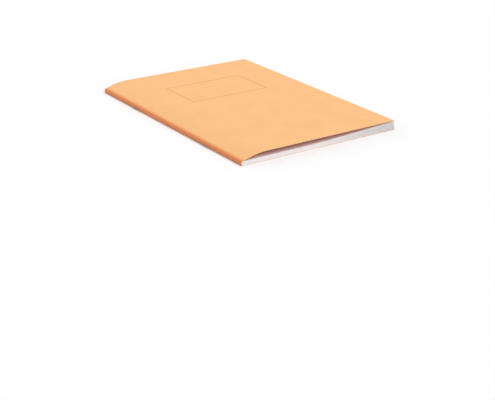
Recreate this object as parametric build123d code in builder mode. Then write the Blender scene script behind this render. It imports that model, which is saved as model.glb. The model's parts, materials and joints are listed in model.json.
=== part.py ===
from build123d import *
import math
import os

# A stapled exercise book lying shut with its front cover up. Sizes are in millimetres.
# The spine runs along Y, the fore-edge faces +X and the back cover lies on Z = 0.
# Sections are drawn from the fold line, the line down the spine that the leaves turn about.

length = 210.0  # head to tail
width = 148.0  # fold line to fore-edge, measured flat
paper = 0.09  # thickness of one leaf
card = 0.25  # thickness of the cover
sheet_count = 16  # folded sheets, two leaves each
pitch = 0.10  # from one leaf to the next at the fold
crease_radius = 0.02  # least inside radius of a fold

fold_reach = 2.45  # the creased middle of a sheet ends this far from the fold line
leaf_start = 2.55  # the leaves and the front panel begin this far from it
curl_start = 50.0  # leaves lie flat as far as this from the fold line
curl_end = 105.0  # then bend up as far as this and run straight on
fore_gap = 0.3  # the top leaf comes up to this far below the front panel at the fore-edge

spring_angle = 20.0  # the card leaves the round of the spine at this angle in degrees
spring_radius = 59.0  # the front panel bends level with this radius

wire = 0.5  # staple wire
crown = 12.0  # staple, across the outside
clinch = 4.6  # length of each leg folded over inside the book
clinch_x = 0.3  # the folded-over legs lie this far inside the fold line
slit = 0.58  # side of the square holes that the legs pierce
staple_places = {"staple_tail": -57.0, "staple_head": 51.5}

leaf_count = 2 * sheet_count
half_block = sheet_count * pitch
spine_radius = half_block + card
fold_z = spine_radius
fold_x = (spine_radius + wire - width) / 2
leg_offset = (crown - wire) / 2
section = Plane(origin=(fold_x, 0, fold_z), x_dir=(1, 0, 0), z_dir=(0, -1, 0))
across = Plane.YZ.offset(fold_x)
clinch_offset = leg_offset - clinch / 2
leg_places = []
clinch_places = []
for place in staple_places.values():
    for side in (-1, 1):
        leg_places.append((place + side * leg_offset, fold_z))
        clinch_places.append((place + side * clinch_offset, fold_z))

os.makedirs("parts", exist_ok=True)

# Back panel, round of the spine and a short lip towards the front panel, in one piece of card
# that the staple legs pierce.
spring_turn = math.radians(spring_angle)
spring_way = Vector(math.cos(spring_turn), math.sin(spring_turn))
spring_up = Vector(-math.sin(spring_turn), math.cos(spring_turn))
lip = spring_way * math.sqrt(fold_reach**2 - spine_radius**2)
lip_over = spring_up * spine_radius
lip_under = spring_up * half_block
with BuildPart() as cover_back:
    with BuildSketch(section):
        with BuildLine():
            CenterArc((0, 0), spine_radius, 90 + spring_angle, 180 - spring_angle)
            CenterArc((0, 0), half_block, 90 + spring_angle, 180 - spring_angle)
            Polyline(lip_over, lip_over + lip, lip_under + lip, lip_under)
            Polyline((0, -spine_radius), (width, -spine_radius), (width, -half_block), (0, -half_block))
        make_face()
    extrude(amount=length / 2, both=True)
    with BuildSketch(across):
        with Locations(*leg_places):
            Rectangle(slit, slit)
    extrude(amount=-spine_radius - wire, mode=Mode.SUBTRACT)
cover_back.part.label = "cover_back"
export_step(cover_back.part, "parts/cover_back.step")

# Front panel, sprung up from the leaves: a bend next to the spine and then a level run.
panel_start = math.sqrt(leaf_start**2 - half_block**2)
panel_run = width - panel_start - spring_radius * spring_turn
panel_under = lip_under + spring_way * panel_start
panel_over = lip_over + spring_way * panel_start
panel_low = panel_under.Y + spring_radius * (1 - math.cos(spring_turn))
with BuildPart() as cover_front:
    with BuildSketch(section):
        with BuildLine():
            under_spring = JernArc(panel_under, spring_way, spring_radius, -spring_angle)
            over_spring = JernArc(panel_over, spring_way, spring_radius + card, -spring_angle)
            under_run = PolarLine(under_spring @ 1, panel_run, 0)
            over_run = PolarLine(over_spring @ 1, panel_run, 0)
            Line(under_run @ 1, over_run @ 1)
            Line(panel_under, panel_over)
        make_face()
    extrude(amount=length / 2, both=True)
cover_front.part.label = "cover_front"
export_step(cover_front.part, "parts/cover_front.step")

# The creased middle of each sheet, nested from the outermost in, pierced by the staple legs
# and open where the folded-over legs lie.
for number in range(1, sheet_count + 1):
    middle = (sheet_count + 0.5 - number) * pitch
    outer = middle + paper / 2
    inner = max(middle - paper / 2, crease_radius)
    edge = math.sqrt(fold_reach**2 - outer**2)
    with BuildPart() as fold:
        with BuildSketch(section):
            with BuildLine():
                CenterArc((0, 0), outer, 90, 180)
                CenterArc((0, 0), inner, 90, 180)
                Polyline((0, outer), (edge, outer), (edge, inner), (0, inner))
                Polyline((0, -outer), (edge, -outer), (edge, -inner), (0, -inner))
            make_face()
        extrude(amount=length / 2, both=True)
        with BuildSketch(across):
            with Locations(*leg_places):
                Rectangle(slit, slit)
        extrude(amount=-spine_radius, mode=Mode.SUBTRACT)
        if inner < wire:
            with BuildSketch(across):
                with Locations(*clinch_places):
                    Rectangle(clinch + slit, slit)
            extrude(amount=clinch_x + slit / 2, mode=Mode.SUBTRACT)
    fold.part.label = f"fold_{number:02d}"
    export_step(fold.part, f"parts/fold_{number:02d}.step")

# The leaves, top one first. Each lies flat near the spine and bends up towards the fore-edge,
# a little less than the leaf over it.
curl_length = curl_end - curl_start
tip_length = width - curl_end
top_rise = panel_low - half_block - fore_gap
for number in range(1, leaf_count + 1):
    middle = (sheet_count + 0.5 - number) * pitch
    low = middle - paper / 2
    high = middle + paper / 2
    near = math.sqrt(leaf_start**2 - (abs(middle) - paper / 2) ** 2)
    rise = top_rise * (leaf_count + 1 - number) / leaf_count
    curl_turn = rise / (curl_length / 2 + tip_length)
    curl_angle = math.degrees(curl_turn)
    curl_radius = curl_length / curl_turn
    with BuildPart() as leaf:
        with BuildSketch(section):
            with BuildLine():
                under_curl = JernArc((curl_start, low), (1, 0), curl_radius, curl_angle)
                over_curl = JernArc((curl_start, high), (1, 0), curl_radius - paper, curl_angle)
                under_tip = PolarLine(under_curl @ 1, tip_length, curl_angle)
                over_tip = PolarLine(over_curl @ 1, tip_length, curl_angle)
                Line(under_tip @ 1, over_tip @ 1)
                Polyline((curl_start, low), (near, low), (near, high), (curl_start, high))
            make_face()
        extrude(amount=length / 2, both=True)
    leaf.part.label = f"leaf_{number:02d}"
    export_step(leaf.part, f"parts/leaf_{number:02d}.step")

# Wire staples with sharp bends: crown outside the spine, legs through the folds, ends folded
# towards each other.
outside = fold_x - spine_radius - wire / 2
inside = fold_x + clinch_x
for name, place in staple_places.items():
    first = place - leg_offset
    last = place + leg_offset
    bends = [(inside, first), (outside, first), (outside, last), (inside, last)]
    tips = [(inside, first + clinch), (inside, last - clinch)]
    with BuildPart() as staple:
        with BuildLine(Plane.XY.offset(fold_z)) as path:
            Polyline(tips[0], *bends, tips[1])
        with BuildSketch(Plane(origin=path.line @ 0, z_dir=path.line % 0)):
            Circle(wire / 2)
        sweep(transition=Transition.RIGHT)
    staple.part.label = name
    export_step(staple.part, f"parts/{name}.step")
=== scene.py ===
import json
import math
import random

import bpy
from mathutils import Matrix, Vector


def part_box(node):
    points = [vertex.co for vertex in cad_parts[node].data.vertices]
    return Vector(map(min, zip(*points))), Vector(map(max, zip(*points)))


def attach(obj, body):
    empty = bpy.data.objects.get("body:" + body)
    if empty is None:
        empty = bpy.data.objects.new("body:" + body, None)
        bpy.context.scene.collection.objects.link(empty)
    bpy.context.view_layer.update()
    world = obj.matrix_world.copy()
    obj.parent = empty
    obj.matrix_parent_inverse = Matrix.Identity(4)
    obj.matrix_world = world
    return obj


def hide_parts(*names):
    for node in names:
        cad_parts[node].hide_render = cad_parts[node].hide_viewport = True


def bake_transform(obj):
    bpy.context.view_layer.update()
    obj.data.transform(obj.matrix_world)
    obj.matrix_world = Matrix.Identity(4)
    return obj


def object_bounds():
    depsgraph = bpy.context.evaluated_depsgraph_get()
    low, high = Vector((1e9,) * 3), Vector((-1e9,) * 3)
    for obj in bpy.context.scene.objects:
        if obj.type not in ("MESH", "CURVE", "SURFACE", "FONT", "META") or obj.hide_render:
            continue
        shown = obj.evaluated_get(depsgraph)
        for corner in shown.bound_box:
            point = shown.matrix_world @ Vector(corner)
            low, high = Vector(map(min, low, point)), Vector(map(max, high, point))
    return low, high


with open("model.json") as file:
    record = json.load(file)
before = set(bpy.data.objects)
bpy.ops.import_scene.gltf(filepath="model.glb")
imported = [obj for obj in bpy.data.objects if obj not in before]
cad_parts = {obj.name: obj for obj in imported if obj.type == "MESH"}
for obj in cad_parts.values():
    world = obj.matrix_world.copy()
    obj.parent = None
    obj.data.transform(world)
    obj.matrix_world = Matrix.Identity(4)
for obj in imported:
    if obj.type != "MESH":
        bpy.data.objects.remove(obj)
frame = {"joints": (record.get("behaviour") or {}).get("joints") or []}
cad_low, cad_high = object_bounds()

# A stapled exercise book lying shut with its front cover up. Sizes are in metres.
# The spine runs along Y, the fore-edge faces +X and the back cover lies on Z = 0.
# Profiles are drawn from the fold line, the line that the cover and the leaves turn about.
MM = 0.001
FOLD = Vector(next(j["pos_m"] for j in frame["joints"] if j["name"] == "cover_turn"))
HALF_LENGTH = cad_high.y
WIDTH = 148 * MM  # fold line to fore-edge, measured flat
PAPER = 0.09 * MM  # thickness of one leaf
CARD = 0.25 * MM  # thickness of the cover
PITCH = 0.10 * MM  # from one leaf to the next at the fold
SHEETS = 16  # folded sheets, two leaves each
LEAVES = 2 * SHEETS
HALF_BLOCK = SHEETS * PITCH
SPINE_RADIUS = HALF_BLOCK + CARD
SPRING_ANGLE = math.radians(20)  # the card leaves the round of the spine at this angle
SPRING_RADIUS = 59 * MM  # the front panel bends level with this radius
LEAF_START = 2.55 * MM  # the solids of the leaves and the front panel begin this far from the fold line
PANEL_START = math.sqrt(LEAF_START**2 - HALF_BLOCK**2)
CURL_START = 50 * MM  # leaves lie flat as far as this from the fold line
CURL_END = 105 * MM  # then bend up as far as this and run straight on
FORE_GAP = 0.3 * MM  # the top leaf comes up to this far below the front panel at the fore-edge
SEAM = 0.3 * MM  # the two pieces of the cover meet this far past the round of the spine

# The points of a mesh lie closer together as far as these places, where it bends.
PAGE_BEND_MESH = 8 * MM
CARD_BEND_MESH = 5.5 * MM
SPRING_MESH = 24 * MM
SHARP_ANGLE = math.radians(50)  # edges that turn by more than this are shaded sharp
SHEET_UV = "sheet"  # map of the flat sheet in metres

# Loose paper: the leaves stand in clumps, step back towards the top and sag between head and tail.
CLUMP_GAPS = 0.35, 0.5, 0.7, 2.2  # shares of the rise from one leaf to the next
STEP_BACK = 1.2 * MM
RAGGED_FORE_EDGE = 0.15 * MM
RAGGED_SIDE = 0.12 * MM
SLACK = 0.18

STAPLES = "staple_tail", "staple_head"
CLINCH = 4.6 * MM  # length of each leg folded over inside the book
STAPLE_BEND = 0.35 * MM  # radius of the bends in the wire
DENT_DEPTH = 0.16 * MM
DENT_SPREAD = 0.55 * MM
DENT_MESH = 1.5 * MM  # the card's mesh is finer as far as this from a leg

# Print: line sizes are half widths, and places on the front are from the fold line and mid-height.
LABEL_LOW = Vector((37.4 * MM, 21.4 * MM))
LABEL_HIGH = Vector((111.9 * MM, 64.6 * MM))
LABEL_OUTLINE = 0.32 * MM
LABEL_RULE = 0.12 * MM
LABEL_RULE_SPACING = 9.0 * MM
LABEL_FIRST_RULE = 1.0 * MM  # rules are counted from this far above the foot of the box
LABEL_INSET = 5.0 * MM  # the rules keep this far inside the outline
PAGE_RULE = 0.13 * MM
PAGE_RULE_SPACING = 8.0 * MM
PAGE_HEAD = 18 * MM  # without rules
MARGIN_RULE = 0.15 * MM
MARGIN_PLACE = 20 * MM

FOLD_SHADE_START = 1.2 * MM  # painted shade: a deeper colour along the fold stands in for the shade on the spine's side; it fades between these distances from its tip
FOLD_SHADE_END = 5.0 * MM
WEAR_WIDTH = 0.9 * MM

CARD_PALE = 0.97, 0.54, 0.235, 1
CARD_DEEP = 0.945, 0.50, 0.20, 1
# Painted shade: the deeper orange of the fold, where the spine's side is in shade
FOLD_PAINTED_SHADE = 0.80, 0.25, 0.08, 1
CARD_FLECK = 0.80, 0.36, 0.13, 1
CARD_WORN = 0.97, 0.66, 0.40, 1
LABEL_INK = 0.66, 0.25, 0.09, 1
INSIDE_PALE = 0.95, 0.38, 0.275, 1
INSIDE_DEEP = 0.89, 0.32, 0.225, 1
CARD_CUT_PALE = 0.93, 0.50, 0.24, 1
CARD_CUT_DEEP = 0.80, 0.36, 0.14, 1
PAGE_PALE = 0.93, 0.915, 0.905, 1
PAGE_DEEP = 0.89, 0.87, 0.86, 1
PAGE_INK = 0.42, 0.55, 0.72, 1
MARGIN_INK = 0.74, 0.27, 0.30, 1
PAGE_CUT_PALE = 0.965, 0.92, 0.915, 1
PAGE_CUT_DEEP = 0.89, 0.84, 0.835, 1
# Painted shade: the wire's colours are darker and browner than bare steel, standing in for shade on the
# staples
WIRE_SHADED_PALE = 0.36, 0.32, 0.28, 1
WIRE_SHADED_DEEP = 0.22, 0.19, 0.165, 1
WHITE = 1, 1, 1, 1
FLOOR_SEEN_GREY = 0.98, 0.98, 0.98, 1
FLOOR_PALE = 0.86, 0.86, 0.86, 1
FLOOR_GREY = 0.84, 0.84, 0.84, 1

FLOOR_HALF = 4.0
FLOOR_DROP = 0.05 * MM
WORLD_STRENGTH = 0.55
# Name, direction from the book, strength and spread of each lamp
LAMPS = (
    ("key", Vector((0.30, -0.35, 0.88)), 1.1, math.radians(35)),
    ("fill", Vector((0.25, -0.90, 0.30)), 0.7, math.radians(60)),
    ("back", Vector((-0.45, 0.75, 0.48)), 0.5, math.radians(60)),
)
CAMERA_PLACE = Vector((-0.515065, -0.7361, 0.3009))
CAMERA_TURN = [math.radians(a) for a in (-35.271, 23.061, 0.867)]  # azimuth, elevation, roll
CAMERA_LENS = 81.955  # in millimetres, as Blender has it
CAMERA_SENSOR = 36

random.seed(7)


# Shader helpers

def new_material(name):
    material = bpy.data.materials.new(name)
    material.use_nodes = True
    tree = material.node_tree
    return material, tree, tree.nodes["Principled BSDF"]


def put(tree, socket, value):
    if isinstance(value, bpy.types.NodeSocket):
        tree.links.new(value, socket)
    else:
        socket.default_value = value


def math_of(tree, operation, *values):
    node = tree.nodes.new("ShaderNodeMath")
    node.operation = operation
    for socket, value in zip(node.inputs, values):
        put(tree, socket, value)
    return node.outputs[0]


def product_of(tree, first, *others):
    for other in others:
        first = math_of(tree, "MULTIPLY", first, other)
    return first


def average_of(tree, first, second, share=0.5):
    """This share of the first value and the rest of the second."""
    return math_of(tree, "ADD", product_of(tree, first, share), product_of(tree, second, 1 - share))


def mix_of(tree, factor, first, second):
    node = tree.nodes.new("ShaderNodeMix")
    node.data_type = "RGBA"
    put(tree, node.inputs[0], factor)
    put(tree, node.inputs[6], first)
    put(tree, node.inputs[7], second)
    return node.outputs[2]


def ramp_of(tree, value, low, high, start=0.0, stop=1.0):
    """Goes smoothly from start to stop as the value goes from low to high."""
    node = tree.nodes.new("ShaderNodeMapRange")
    node.interpolation_type = "SMOOTHSTEP"
    for socket, number in zip(node.inputs, (value, low, high, start, stop)):
        put(tree, socket, number)
    return node.outputs[0]


def noise_of(tree, vector, scale, detail=3.0, roughness=0.55):
    node = tree.nodes.new("ShaderNodeTexNoise")
    tree.links.new(vector, node.inputs["Vector"])
    node.inputs["Scale"].default_value = scale
    node.inputs["Detail"].default_value = detail
    node.inputs["Roughness"].default_value = roughness
    return node.outputs["Fac"]


def sheet_vector(tree):
    """Place on the flat sheet in metres."""
    node = tree.nodes.new("ShaderNodeUVMap")
    node.uv_map = SHEET_UV
    return node.outputs[0]


def split(tree, vector):
    """u, across the sheet, and v, along it from mid-height."""
    node = tree.nodes.new("ShaderNodeSeparateXYZ")
    tree.links.new(vector, node.inputs[0])
    return node.outputs[0], node.outputs[1]


def scaled(tree, vector, u_scale, v_scale):
    node = tree.nodes.new("ShaderNodeMapping")
    tree.links.new(vector, node.inputs["Vector"])
    node.inputs["Scale"].default_value = (u_scale, v_scale, 1)
    return node.outputs[0]


def distance_over(tree, value, low, high):
    """How far a value lies outside a range. It is negative inside."""
    from_middle = math_of(tree, "ABSOLUTE", math_of(tree, "SUBTRACT", value, (low + high) / 2))
    return math_of(tree, "SUBTRACT", from_middle, (high - low) / 2)


def stripes(tree, value, first, spacing, half_width):
    """Mask of evenly spaced lines, one of them at first."""
    wave = math_of(tree, "PINGPONG", math_of(tree, "SUBTRACT", value, first), spacing / 2)
    return math_of(tree, "LESS_THAN", wave, half_width)


def roughen(tree, shader, noise, least, most):
    put(tree, shader.inputs["Roughness"], ramp_of(tree, noise, low=0.2, high=0.8, start=least, stop=most))


def bump(tree, shader, height, strength, distance):
    node = tree.nodes.new("ShaderNodeBump")
    node.inputs["Strength"].default_value = strength
    node.inputs["Distance"].default_value = distance
    tree.links.new(height, node.inputs["Height"])
    tree.links.new(node.outputs[0], shader.inputs["Normal"])


def direct_rays(tree):
    """1 for rays from the camera, also by way of metal or glass, and 0 for those that light the object."""
    path = tree.nodes.new("ShaderNodeLightPath").outputs
    seen = math_of(tree, "MAXIMUM", path["Is Camera Ray"], path["Is Glossy Ray"])
    return math_of(tree, "MAXIMUM", seen, path["Is Transmission Ray"])


# Materials

def pulp_colour(tree, vector, fibre, pale, deep):
    """Cloudy card with thin darker strands."""
    cloud = noise_of(tree, vector, scale=45.0, detail=4.0)
    tone = average_of(tree, cloud, fibre)
    colour = mix_of(tree, ramp_of(tree, tone, low=0.3, high=0.7), pale, deep)
    drawn_out = scaled(tree, vector, u_scale=350, v_scale=2600)
    strands = noise_of(tree, drawn_out, scale=1.0, detail=2.0, roughness=0.5)
    return mix_of(tree, ramp_of(tree, strands, low=0.66, high=0.74, stop=0.22), colour, CARD_FLECK)


def paint_fold_shade(tree, colour, u):
    """Painted shade: a deeper colour along the fold, standing in for the shade on the spine's side."""
    from_fold = math_of(tree, "ABSOLUTE", u)
    fold_shade_mask = ramp_of(tree, from_fold, FOLD_SHADE_START, FOLD_SHADE_END, start=1.0, stop=0.0)
    return mix_of(tree, fold_shade_mask, colour, FOLD_PAINTED_SHADE)


def label_print(tree, colour, u, v, low, high):
    """The outline of a box with blank writing lines in it."""
    over_u = distance_over(tree, u, low.x, high.x)
    over_v = distance_over(tree, v, low.y, high.y)
    outside = math_of(tree, "MAXIMUM", over_u, over_v)
    outline = math_of(tree, "COMPARE", outside, 0.0, LABEL_OUTLINE)
    inside = math_of(tree, "LESS_THAN", outside, -LABEL_INSET)
    rules = stripes(tree, v, low.y + LABEL_FIRST_RULE, LABEL_RULE_SPACING, LABEL_RULE)
    rule_strength, ink_strength = 0.55, 0.95
    lines = math_of(tree, "MAXIMUM", outline, product_of(tree, rules, inside, rule_strength))
    return mix_of(tree, product_of(tree, lines, ink_strength), colour, LABEL_INK)


def worn_edges(tree, colour, u, v, fibre, far_edge):
    """Fibres rubbed pale along the cut edges."""
    to_end = math_of(tree, "SUBTRACT", far_edge, math_of(tree, "ABSOLUTE", u))
    to_side = math_of(tree, "SUBTRACT", HALF_LENGTH, math_of(tree, "ABSOLUTE", v))
    to_edge = math_of(tree, "MINIMUM", to_end, to_side)
    rim = ramp_of(tree, to_edge, 0.0, WEAR_WIDTH, start=0.55, stop=0.0)
    worn = product_of(tree, rim, ramp_of(tree, fibre, low=0.35, high=0.6))
    return mix_of(tree, worn, colour, CARD_WORN)


def card_material(name, pale, deep, far_edge=None, label=None):
    """Uncoated card. The outside of the cover is given the u of its far edge, which also brings painted
    shade along the fold and worn edges, and the front its label.
    """
    material, tree, shader = new_material(name)
    vector = sheet_vector(tree)
    drawn_out = scaled(tree, vector, u_scale=1500, v_scale=600)
    fibre = noise_of(tree, drawn_out, scale=1.0, detail=4.0, roughness=0.65)
    colour = pulp_colour(tree, vector, fibre, pale, deep)
    u, v = split(tree, vector)
    # Painted shade along the fold, on the outside of the cover
    if far_edge is not None:
        colour = paint_fold_shade(tree, colour, u)
    if label is not None:
        colour = label_print(tree, colour, u, v, *label)
    if far_edge is not None:
        colour = worn_edges(tree, colour, u, v, fibre, far_edge)
    put(tree, shader.inputs["Base Color"], colour)
    roughen(tree, shader, fibre, least=0.58, most=0.74)
    shader.inputs["Specular IOR Level"].default_value = 0.35
    speck = noise_of(tree, vector, scale=2600.0, detail=2.0)
    bump(tree, shader, average_of(tree, fibre, speck, share=0.7), strength=0.25, distance=0.05 * MM)
    return material


def page_material(name):
    """Off-white writing paper with feint ruling and a margin."""
    material, tree, shader = new_material(name)
    vector = sheet_vector(tree)
    u, v = split(tree, vector)
    cloud = noise_of(tree, vector, scale=130.0)
    grain = noise_of(tree, vector, scale=2200.0)
    tone = average_of(tree, cloud, grain)
    colour = mix_of(tree, ramp_of(tree, tone, low=0.3, high=0.7), PAGE_PALE, PAGE_DEEP)
    rules = stripes(tree, v, -PAGE_RULE_SPACING / 4, PAGE_RULE_SPACING, PAGE_RULE)
    below_head = math_of(tree, "LESS_THAN", v, HALF_LENGTH - PAGE_HEAD)
    margin = math_of(tree, "COMPARE", u, MARGIN_PLACE, MARGIN_RULE)
    rule_strength, margin_strength = 0.5, 0.55
    colour = mix_of(tree, product_of(tree, rules, below_head, rule_strength), colour, PAGE_INK)
    colour = mix_of(tree, product_of(tree, margin, margin_strength), colour, MARGIN_INK)
    put(tree, shader.inputs["Base Color"], colour)
    roughen(tree, shader, grain, least=0.72, most=0.86)
    shader.inputs["Specular IOR Level"].default_value = 0.25
    bump(tree, shader, grain, strength=0.15, distance=0.03 * MM)
    return material


def paper_edge_material(name):
    """Cut edges of the paper, different from leaf to leaf."""
    material, tree, shader = new_material(name)
    leaf_tone = tree.nodes.new("ShaderNodeObjectInfo").outputs["Random"]
    grain = noise_of(tree, sheet_vector(tree), scale=700.0)
    tone = average_of(tree, grain, leaf_tone)
    put(tree, shader.inputs["Base Color"], mix_of(tree, tone, PAGE_CUT_PALE, PAGE_CUT_DEEP))
    roughen(tree, shader, grain, least=0.75, most=0.9)
    shader.inputs["Specular IOR Level"].default_value = 0.2
    return material


def wire_material(name):
    """Drawn steel wire with a slightly rough finish; its colour is darkened brown-grey as painted shade, in
    patches that differ at random.
    """
    material, tree, shader = new_material(name)
    vector = sheet_vector(tree)
    drawn = noise_of(tree, scaled(tree, vector, u_scale=300, v_scale=4000), scale=1.0)
    dull = noise_of(tree, vector, scale=900.0, detail=2.0)
    # painted shade: both colours of the wire are darkened
    colour = mix_of(tree, ramp_of(tree, dull, low=0.35, high=0.7), WIRE_SHADED_PALE, WIRE_SHADED_DEEP)
    put(tree, shader.inputs["Base Color"], colour)
    shader.inputs["Metallic"].default_value = 1.0
    roughen(tree, shader, drawn, least=0.28, most=0.5)
    bump(tree, shader, drawn, strength=0.2, distance=0.02 * MM)
    return material


def floor_material(name):
    """Pale floor that looks white and throws less light back at the book."""
    material, tree, shader = new_material(name)
    place = tree.nodes.new("ShaderNodeTexCoord").outputs["Object"]
    grain = noise_of(tree, place, scale=30.0, detail=2.0)
    lighting = mix_of(tree, grain, FLOOR_PALE, FLOOR_GREY)
    seen = mix_of(tree, grain, WHITE, FLOOR_SEEN_GREY)
    put(tree, shader.inputs["Base Color"], mix_of(tree, direct_rays(tree), lighting, seen))
    shader.inputs["Roughness"].default_value = 0.9
    shader.inputs["Specular IOR Level"].default_value = 0.1
    return material


# Profiles: lists of points (x, z) from the fold line

def polar(radius, angle):
    return Vector((radius * math.cos(angle), radius * math.sin(angle)))


def steps(start, stop, count):
    return [start + (stop - start) * i / count for i in range(count + 1)]


def card_spring(offset, distances):
    """The card from spine to fore-edge, at these distances along it and this offset from the fold line."""
    way, up = polar(1, SPRING_ANGLE), polar(1, SPRING_ANGLE + math.pi / 2)
    arc_length = SPRING_RADIUS * SPRING_ANGLE
    radius = SPRING_RADIUS + offset - HALF_BLOCK
    points = []
    for distance in distances:
        point = up * offset + way * min(distance, PANEL_START)
        turned = min(max(distance - PANEL_START, 0), arc_length) / SPRING_RADIUS
        left = SPRING_ANGLE - turned
        across = math.sin(SPRING_ANGLE) - math.sin(left)
        rise = math.cos(left) - math.cos(SPRING_ANGLE)
        point += radius * Vector((across, rise))
        point.x += max(distance - PANEL_START - arc_length, 0)
        points.append(point)
    return points


def front_distances():
    """Distances along the front of the cover, from the seam to the fore-edge."""
    bend = steps(SEAM, CARD_BEND_MESH, count=32)
    spring = steps(CARD_BEND_MESH, SPRING_MESH, count=14)
    level = steps(SPRING_MESH, WIDTH, count=20)
    return bend + spring[1:] + level[1:]


def back_profile(offset):
    """Back panel from the fore-edge in, round the spine and on to the seam."""
    panel = [Vector((x, -offset)) for x in reversed(steps(0, WIDTH, count=24))]
    round_angles = steps(math.radians(270), math.pi / 2 + SPRING_ANGLE, count=32)
    return panel + [polar(offset, a) for a in round_angles[1:]] + card_spring(offset, [SEAM])


def leaf_height(number):
    """Height of a leaf's middle over the fold line, where it lies flat."""
    return (SHEETS + 0.5 - number) * PITCH


def leaf_profile(number, rise, end):
    """Middle line of one leaf from the tip of its fold to the fore-edge, where it ends at this length."""
    height = leaf_height(number)
    quarter = [polar(abs(height), math.pi - a) for a in steps(0, math.pi / 2, count=8)]
    points = [Vector((p.x, math.copysign(p.y, height))) for p in quarter]
    points += [Vector((x, height)) for x in steps(0, PAGE_BEND_MESH, count=32)[1:]]
    points += [Vector((x, height)) for x in steps(PAGE_BEND_MESH, CURL_START, count=6)[1:]]
    turn = rise / ((CURL_END - CURL_START) / 2 + WIDTH - CURL_END)
    radius = (CURL_END - CURL_START) / turn
    for angle in steps(0, turn, count=10)[1:]:
        across = CURL_START + radius * math.sin(angle)
        points.append(Vector((across, height + radius * (1 - math.cos(angle)))))
    way = polar(1, turn)
    bent = points[-1]
    points += [bent + way * s for s in steps(0, end - CURL_END, count=6)[1:]]
    return points


def offset_line(points, distance):
    """The line moved sideways by a distance, to its left."""
    moved = []
    last = len(points) - 1
    for i, point in enumerate(points):
        way = (points[min(i + 1, last)] - points[max(i - 1, 0)]).normalized()
        moved.append(point + distance * Vector((-way.y, way.x)))
    return moved


def lengths_along(points):
    """Length of the line as far as each of its points."""
    total = [0.0]
    for a, b in zip(points, points[1:]):
        total.append(total[-1] + (b - a).length)
    return total


def front_u(x):
    """Distance along the outside of the front, from the tip of the spine, to the level panel at x."""
    end = card_spring(SPINE_RADIUS, [WIDTH])[0]
    whole = lengths_along(card_spring(SPINE_RADIUS, front_distances()))[-1]
    round_part = (math.pi / 2 - SPRING_ANGLE) * SPINE_RADIUS + SEAM
    return round_part + whole - (end.x - x)


# Meshes

def build_mesh(name, places, faces, marks, kinds):
    """A smooth mesh with the mark of each point on its map and the kind of each face as material."""
    mesh = bpy.data.meshes.new(name)
    mesh.from_pydata(places, [], faces)
    uv = mesh.uv_layers.new(name=SHEET_UV)
    for loop in mesh.loops:
        uv.data[loop.index].uv = marks[loop.vertex_index]
    mesh.polygons.foreach_set("material_index", kinds)
    mesh.polygons.foreach_set("use_smooth", [True] * len(faces))
    mesh.set_sharp_from_angle(angle=SHARP_ANGLE)
    mesh.update()
    return mesh


def sheet_rim(rows, columns):
    """Points round the edge of a grid, in order."""
    ring = list(range(columns))
    ring += [r * columns + columns - 1 for r in range(1, rows)]
    ring += [(rows - 1) * columns + c for c in reversed(range(columns - 1))]
    ring += [r * columns for r in reversed(range(1, rows - 1))]
    return ring


def sheet_faces(rows, columns):
    """Faces of a closed sheet and their kinds: 0 on the over face, 1 on the under face, 2 on the edges."""
    below = rows * columns
    faces, kinds = [], []
    for r in range(rows - 1):
        for c in range(columns - 1):
            a = r * columns + c
            quad = (a, a + 1, a + 1 + columns, a + columns)
            faces.append(quad)
            kinds.append(0)
            faces.append(tuple(below + i for i in reversed(quad)))
            kinds.append(1)
    ring = sheet_rim(rows, columns)
    for a, b in zip(ring, ring[1:] + ring[:1]):
        faces.append((b, a, below + a, below + b))
        kinds.append(2)
    return faces, kinds


def sheet_mesh(name, over, under, over_u, under_u, sides, moved=None):
    """A thin closed sheet: two faces that follow profiles, and the cut edges round them.

    The over face is on the left of its profile. moved(point, y) gives a point's place after bending or
    denting."""
    places, marks = [], []
    for line, us in ((over, over_u), (under, under_u)):
        for y in sides:
            for point, u in zip(line, us):
                place = moved(point, y) if moved else point
                places.append((FOLD.x + place.x, y, FOLD.z + place.y))
                marks.append((u, y))
    faces, kinds = sheet_faces(len(sides), len(over))
    return build_mesh(name, places, faces, marks, kinds)


def tube_mesh(name, path, radius, around=16):
    """Round wire along a level path."""
    last = len(path) - 1
    places, marks, faces = [], [], []
    lengths = lengths_along(path)
    for i, point in enumerate(path):
        way = (path[min(i + 1, last)] - path[max(i - 1, 0)]).normalized()
        aside = Vector((-way.y, way.x, 0))
        for k in range(around):
            angle = 2 * math.pi * k / around
            places.append(point + radius * (aside * math.cos(angle) + Vector((0, 0, math.sin(angle)))))
            marks.append((lengths[i], radius * angle))
    for i in range(last):
        for k in range(around):
            a, b = i * around + k, i * around + (k + 1) % around
            faces.append((a, b, b + around, a + around))
    faces.append(tuple(reversed(range(around))))
    faces.append(tuple(range(last * around, (last + 1) * around)))
    return build_mesh(name, places, faces, marks, [0] * len(faces))


def rounded(points, radius, count=8):
    """The path with its square corners rounded."""
    path = [points[0]]
    for before, corner, after in zip(points, points[1:], points[2:]):
        back, on = (before - corner).normalized(), (after - corner).normalized()
        centre = corner + (back + on) * radius
        for turn in steps(0, math.pi / 2, count):
            path.append(centre - radius * (on * math.cos(turn) + back * math.sin(turn)))
    return path + [points[-1]]


# Pieces

def add_piece(name, mesh, materials):
    for material in materials:
        mesh.materials.append(material)
    piece = bpy.data.objects.new(name, mesh)
    bpy.context.scene.collection.objects.link(piece)
    return piece


def bend_with(piece):
    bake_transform(piece)


def staple_legs(low, high):
    """Radius of the wire and y of the two legs of the staple in a box."""
    radius = (high.z - low.z) / 2
    return radius, low.y + radius, high.y - radius


def dent_at(legs):
    """The staple legs pull the outside of the card in where they pierce it."""
    def dent(point, y):
        if point.x > 0 or point.length < SPINE_RADIUS - CARD / 2:
            return point
        from_leg = min(abs(y - leg) for leg in legs)
        near = math.exp(-(from_leg / DENT_SPREAD) ** 2 - (point.y / DENT_SPREAD) ** 2)
        return point * (1 - DENT_DEPTH * near / point.length)
    return dent


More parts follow.
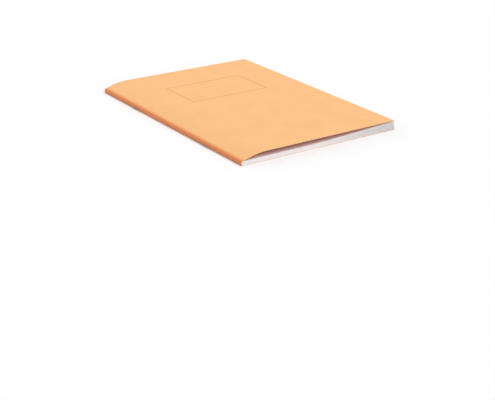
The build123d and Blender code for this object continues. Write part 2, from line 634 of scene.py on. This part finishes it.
def make_cover(outer, outer_front, inner, edge):
    sides = steps(-HALF_LENGTH, HALF_LENGTH, count=20)
    legs = [leg for node in STAPLES for leg in staple_legs(*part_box(node))[1:]]
    dent_sides = [leg + step for leg in legs for step in steps(-DENT_MESH, DENT_MESH, count=16)]
    over, under = back_profile(SPINE_RADIUS), back_profile(HALF_BLOCK)
    tip = math.pi / 2 * SPINE_RADIUS
    us = [u - WIDTH - tip for u in lengths_along(over)]
    mesh = sheet_mesh("cover_back_card", over, under, us, us, sorted(sides + dent_sides), dent_at(legs))
    back = add_piece("cover_back_card", mesh, (outer, inner, edge))
    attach(back, "base")
    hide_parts("cover_back")

    distances = front_distances()
    over, under = card_spring(SPINE_RADIUS, distances), card_spring(HALF_BLOCK, distances)
    us = [us[-1] + u for u in lengths_along(over)]
    mesh = sheet_mesh("cover_front_card", over, under, us, us, sides)
    front = add_piece("cover_front_card", mesh, (outer_front, inner, edge))
    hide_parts("cover_front")
    bend_with(front)


def leaf_rises(top_rise):
    """How far each leaf comes up at the fore-edge: uneven steps, so that leaves stand in clumps."""
    gaps = [random.choice(CLUMP_GAPS) for _ in range(LEAVES)]
    total = sum(gaps)
    rises, left = [], total
    for gap in gaps:
        rises.append(top_rise * left / total)
        left -= gap
    return rises


def sag_from(height):
    """The curl of a leaf is slacker half way along the fore-edge than at its ends."""
    def sag(point, y):
        lift = max(point.y - height, 0) if point.x > CURL_START else 0.0
        slack = SLACK * math.cos(math.pi / 2 * y / HALF_LENGTH) ** 2
        return Vector((point.x, point.y - slack * lift))
    return sag


def make_leaf(number, rise, page, edge):
    short = STEP_BACK * (LEAVES - number) / LEAVES + random.uniform(0, RAGGED_FORE_EDGE)
    line = leaf_profile(number, rise, WIDTH - short)
    over, under = offset_line(line, PAPER / 2), offset_line(line, -PAPER / 2)
    us = lengths_along(line)
    backs = [WIDTH - u for u in us]
    trim = random.uniform(0, RAGGED_SIDE), random.uniform(0, RAGGED_SIDE)
    sides = steps(-HALF_LENGTH + trim[0], HALF_LENGTH - trim[1], count=12)
    name = f"page_{number:02d}"
    mesh = sheet_mesh(name, over, under, us, backs, sides, sag_from(leaf_height(number)))
    piece = add_piece(name, mesh, (page, page, edge))
    nodes = [f"leaf_{number:02d}"]
    if number <= SHEETS:
        nodes.append(f"fold_{number:02d}")
    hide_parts(*nodes)
    bend_with(piece)


def make_leaves(page, edge):
    way = polar(1, SPRING_ANGLE)
    panel_low = HALF_BLOCK * way.x + PANEL_START * way.y + SPRING_RADIUS * (1 - way.x)
    rises = leaf_rises(panel_low - HALF_BLOCK - FORE_GAP)
    for number, rise in enumerate(rises, start=1):
        make_leaf(number, rise, page, edge)


def make_staples(wire):
    for node in STAPLES:
        low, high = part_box(node)
        radius, first, last = staple_legs(low, high)
        level = (high.z + low.z) / 2
        inside, outside = high.x - radius, low.x + radius
        corners = [(inside, first + CLINCH), (inside, first), (outside, first)]
        corners += [(outside, last), (inside, last), (inside, last - CLINCH)]
        path = rounded([Vector((x, y, level)) for x, y in corners], STAPLE_BEND)
        name = node.replace("staple", "staple_wire")
        piece = add_piece(name, tube_mesh(name, path, radius), (wire,))
        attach(piece, "base")
        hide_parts(node)


def make_book():
    far_edge = front_u(card_spring(SPINE_RADIUS, [WIDTH])[0].x)
    label = [Vector((front_u(corner.x), corner.y)) for corner in (LABEL_LOW, LABEL_HIGH)]
    outer_front = card_material("card_front", CARD_PALE, CARD_DEEP, far_edge, label)
    outer = card_material("card_outside", CARD_PALE, CARD_DEEP, far_edge)
    inner = card_material("card_inside", INSIDE_PALE, INSIDE_DEEP)
    card_edge = card_material("card_edge", CARD_CUT_PALE, CARD_CUT_DEEP)
    make_cover(outer, outer_front, inner, card_edge)
    make_leaves(page_material("page_paper"), paper_edge_material("page_edge"))
    make_staples(wire_material("staple_steel"))


# Stage

def make_floor():
    corners = [(-1, -1), (1, -1), (1, 1), (-1, 1)]
    mesh = bpy.data.meshes.new("floor")
    mesh.from_pydata([(FLOOR_HALF * x, FLOOR_HALF * y, 0) for x, y in corners], [], [(0, 1, 2, 3)])
    mesh.materials.append(floor_material("floor_white"))
    floor = bpy.data.objects.new("floor", mesh)
    floor.location.z = -FLOOR_DROP
    bpy.context.scene.collection.objects.link(floor)


def add_sun(name, towards, strength, spread):
    sun = bpy.data.lights.new(name, "SUN")
    sun.energy = strength
    sun.angle = spread
    lamp = bpy.data.objects.new(name, sun)
    lamp.rotation_euler = towards.to_track_quat("Z", "Y").to_euler()
    bpy.context.scene.collection.objects.link(lamp)


def make_world():
    """White as a background and dimmer as a light."""
    world = bpy.data.worlds.new("studio")
    bpy.context.scene.world = world
    world.use_nodes = True
    tree = world.node_tree
    lighting = tree.nodes["Background"]
    lighting.inputs["Strength"].default_value = WORLD_STRENGTH
    lighting.inputs["Color"].default_value = WHITE
    seen = tree.nodes.new("ShaderNodeBackground")
    seen.inputs["Color"].default_value = WHITE
    mixed = tree.nodes.new("ShaderNodeMixShader")
    tree.links.new(direct_rays(tree), mixed.inputs[0])
    tree.links.new(lighting.outputs[0], mixed.inputs[1])
    tree.links.new(seen.outputs[0], mixed.inputs[2])
    tree.links.new(mixed.outputs[0], tree.nodes["World Output"].inputs["Surface"])


def make_camera():
    azimuth, elevation, roll = CAMERA_TURN
    level = math.cos(elevation)
    back = Vector((math.sin(azimuth) * level, -math.cos(azimuth) * level, math.sin(elevation)))
    level_right = Vector((0, 0, 1)).cross(back).normalized()
    level_up = back.cross(level_right)
    right = level_right * math.cos(roll) + level_up * math.sin(roll)
    up = level_up * math.cos(roll) - level_right * math.sin(roll)
    data = bpy.data.cameras.new("camera")
    data.sensor_width = CAMERA_SENSOR
    data.lens = CAMERA_LENS
    camera = bpy.data.objects.new("camera", data)
    camera.matrix_world = Matrix.Translation(CAMERA_PLACE) @ Matrix((right, up, back)).transposed().to_4x4()
    bpy.context.scene.collection.objects.link(camera)
    bpy.context.scene.camera = camera


make_book()
make_floor()
make_world()
for lamp in LAMPS:
    add_sun(*lamp)
make_camera()
bpy.context.scene.view_settings.view_transform = "Standard"
